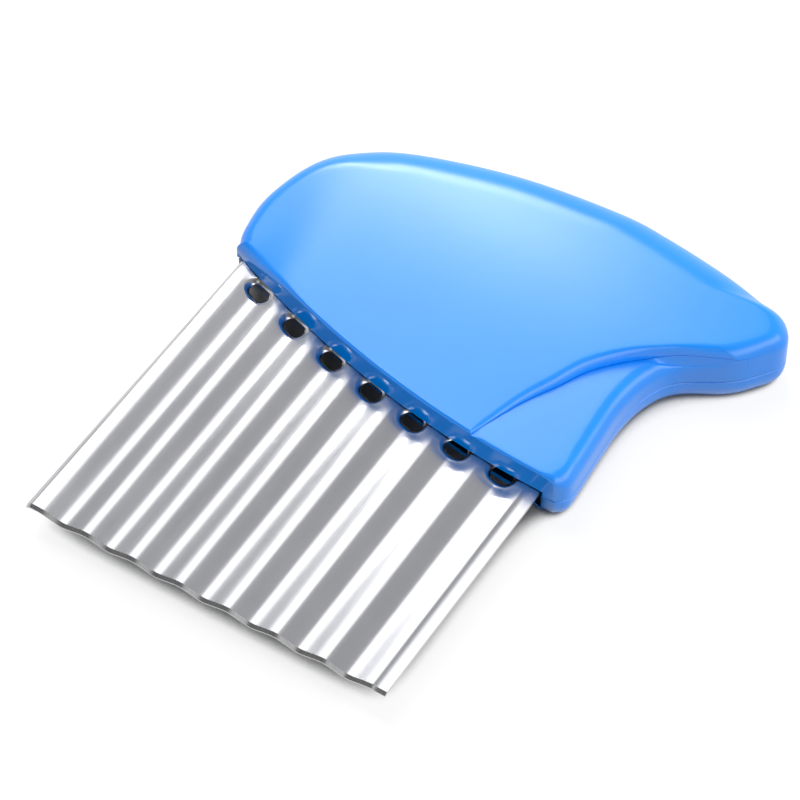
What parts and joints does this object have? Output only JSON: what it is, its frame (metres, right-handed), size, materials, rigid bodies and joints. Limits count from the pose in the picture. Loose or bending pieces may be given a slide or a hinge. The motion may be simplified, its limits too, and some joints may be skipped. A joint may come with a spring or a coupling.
{
  "type": "crinkle cutter",
  "caption": "Hand-held crinkle cutter: a square corrugated steel blade with a row of holes, held between moulded handle shells with a domed palm face and a beak for the finger.",
  "frame": {"origin": "under the middle of the cutter as it lies on its back, on the plane of the handle's flat back", "axes": "+X along the cutting edge towards the beak, +Y from the cutting edge to the handle, +Z out of the front face"},
  "size_m": [0.106, 0.1188, 0.0154],
  "materials": {
    "steel": "pressed stainless sheet with a bright, softly polished face",
    "handle": "smooth blue moulded plastic with a satin gloss"
  },
  "bodies": {
    "root": {"blade": "steel", "front_shell": "handle", "rear_shell": "handle"}
  },
  "joints": []
}
